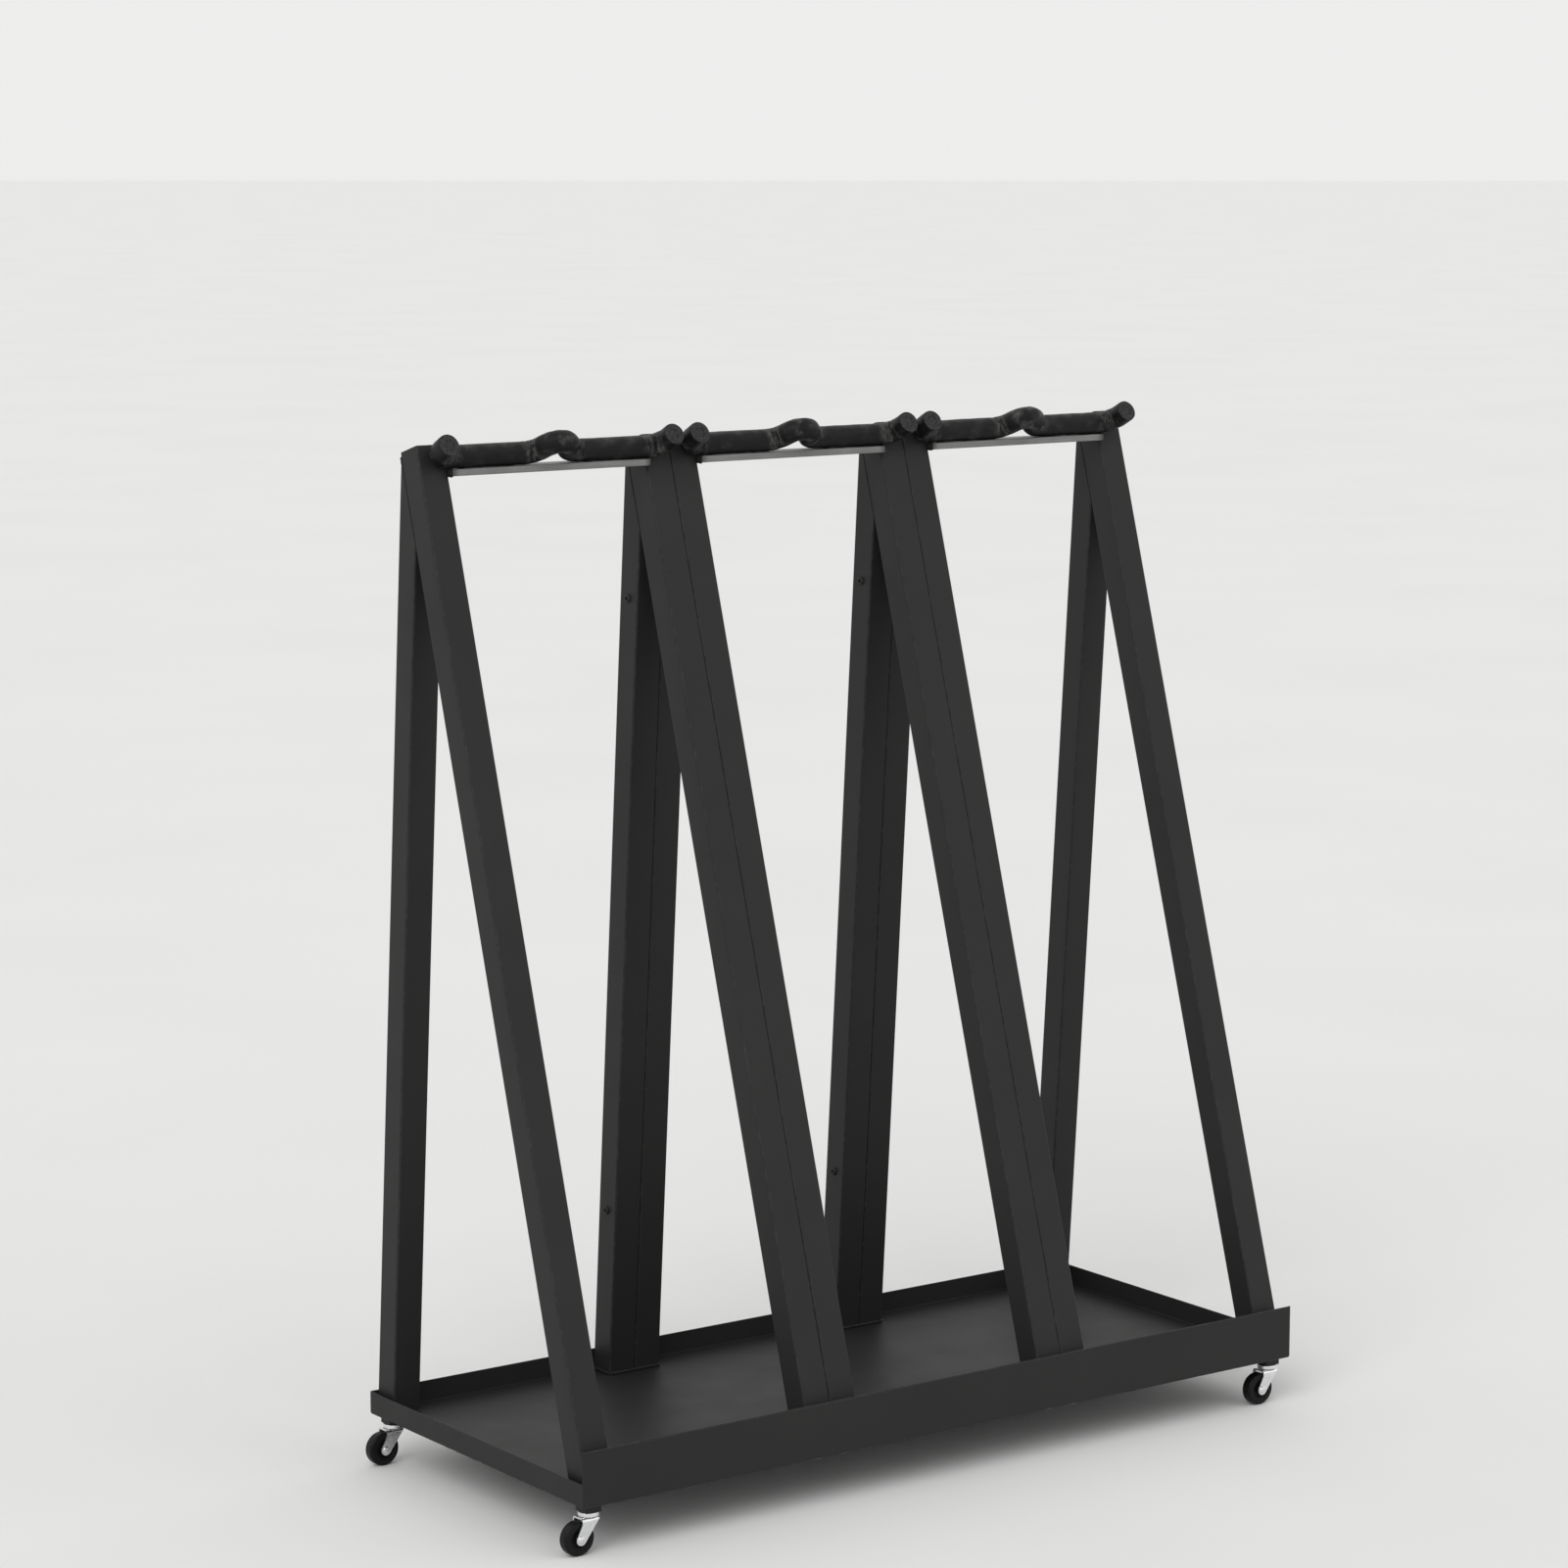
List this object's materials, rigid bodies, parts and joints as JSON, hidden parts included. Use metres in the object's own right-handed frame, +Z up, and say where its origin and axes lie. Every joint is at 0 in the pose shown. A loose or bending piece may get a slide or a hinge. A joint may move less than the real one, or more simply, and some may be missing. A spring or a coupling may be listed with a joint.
{
  "type": "ski rack stand",
  "caption": "Rolling floor rack of paired A-frames on a lipped steel tray; foam-sleeved wave bars part the places for upright skis.",
  "frame": {"origin": "on the floor under the middle of the bounding box, with all casters trailing to -X", "axes": "+X along the front from left to right, +Y from the front to the back, +Z up"},
  "size_m": [1.078, 0.466, 1.2421],
  "materials": {
    "powder_coat": "satin black powder coat",
    "rail_steel": "plain mill steel, dulled",
    "foam": "closed-cell foam, matt skin, cut ends",
    "zinc": "bright zinc plate",
    "hub_plastic": "moulded, matt",
    "tyre_rubber": "smooth hard rubber"
  },
  "bodies": {
    "rack": {"tray": "powder_coat", "front_leg_1": "powder_coat", "front_leg_2": "powder_coat", "front_leg_3": "powder_coat", "front_leg_4": "powder_coat", "front_leg_5": "powder_coat", "front_leg_6": "powder_coat", "rear_leg_1": "powder_coat", "rear_leg_2": "powder_coat", "rear_leg_3": "powder_coat", "rear_leg_4": "powder_coat", "rear_leg_5": "powder_coat", "rear_leg_6": "powder_coat", "apex_caps": "powder_coat", "foot_plates": "powder_coat", "weld_nuts": "zinc", "leg_bolts": "zinc", "leg_washers": "zinc", "joining_bolts": "powder_coat", "joining_nuts": "powder_coat", "rail_1": "rail_steel", "rail_2": "rail_steel", "rail_3": "rail_steel", "wave_rod_1": "powder_coat", "wave_rod_2": "powder_coat", "wave_rod_3": "powder_coat", "foam_sleeve_1": "foam", "foam_sleeve_2": "foam", "foam_sleeve_3": "foam", "foam_plugs": "foam", "corner_spacers": "powder_coat", "caster_stems": "zinc", "race_caps": "zinc", "swivel_balls": "zinc"},
    "front_left_fork": {"fork_1": "zinc", "axle_1": "zinc"},
    "front_left_wheel": {"hub_1": "hub_plastic", "tyre_1": "tyre_rubber"},
    "front_right_fork": {"fork_2": "zinc", "axle_2": "zinc"},
    "front_right_wheel": {"hub_2": "hub_plastic", "tyre_2": "tyre_rubber"},
    "rear_left_fork": {"fork_3": "zinc", "axle_3": "zinc"},
    "rear_left_wheel": {"hub_3": "hub_plastic", "tyre_3": "tyre_rubber"},
    "rear_right_fork": {"fork_4": "zinc", "axle_4": "zinc"},
    "rear_right_wheel": {"hub_4": "hub_plastic", "tyre_4": "tyre_rubber"}
  },
  "joints": [
    {"name": "front_left_swivel", "type": "hinge", "parent": "rack", "child": "front_left_fork", "pos_m": [-0.503, -0.212, 0.042], "axis": [0, 0, 1], "continuous": true},
    {"name": "front_left_roll", "type": "hinge", "parent": "front_left_fork", "child": "front_left_wheel", "pos_m": [-0.519, -0.212, 0.02], "axis": [0, 1, 0], "continuous": true},
    {"name": "front_right_swivel", "type": "hinge", "parent": "rack", "child": "front_right_fork", "pos_m": [0.519, -0.212, 0.042], "axis": [0, 0, 1], "continuous": true},
    {"name": "front_right_roll", "type": "hinge", "parent": "front_right_fork", "child": "front_right_wheel", "pos_m": [0.503, -0.212, 0.02], "axis": [0, 1, 0], "continuous": true},
    {"name": "rear_left_swivel", "type": "hinge", "parent": "rack", "child": "rear_left_fork", "pos_m": [-0.503, 0.212, 0.042], "axis": [0, 0, 1], "continuous": true},
    {"name": "rear_left_roll", "type": "hinge", "parent": "rear_left_fork", "child": "rear_left_wheel", "pos_m": [-0.519, 0.212, 0.02], "axis": [0, 1, 0], "continuous": true},
    {"name": "rear_right_swivel", "type": "hinge", "parent": "rack", "child": "rear_right_fork", "pos_m": [0.519, 0.212, 0.042], "axis": [0, 0, 1], "continuous": true},
    {"name": "rear_right_roll", "type": "hinge", "parent": "rear_right_fork", "child": "rear_right_wheel", "pos_m": [0.503, 0.212, 0.02], "axis": [0, 1, 0], "continuous": true}
  ]
}
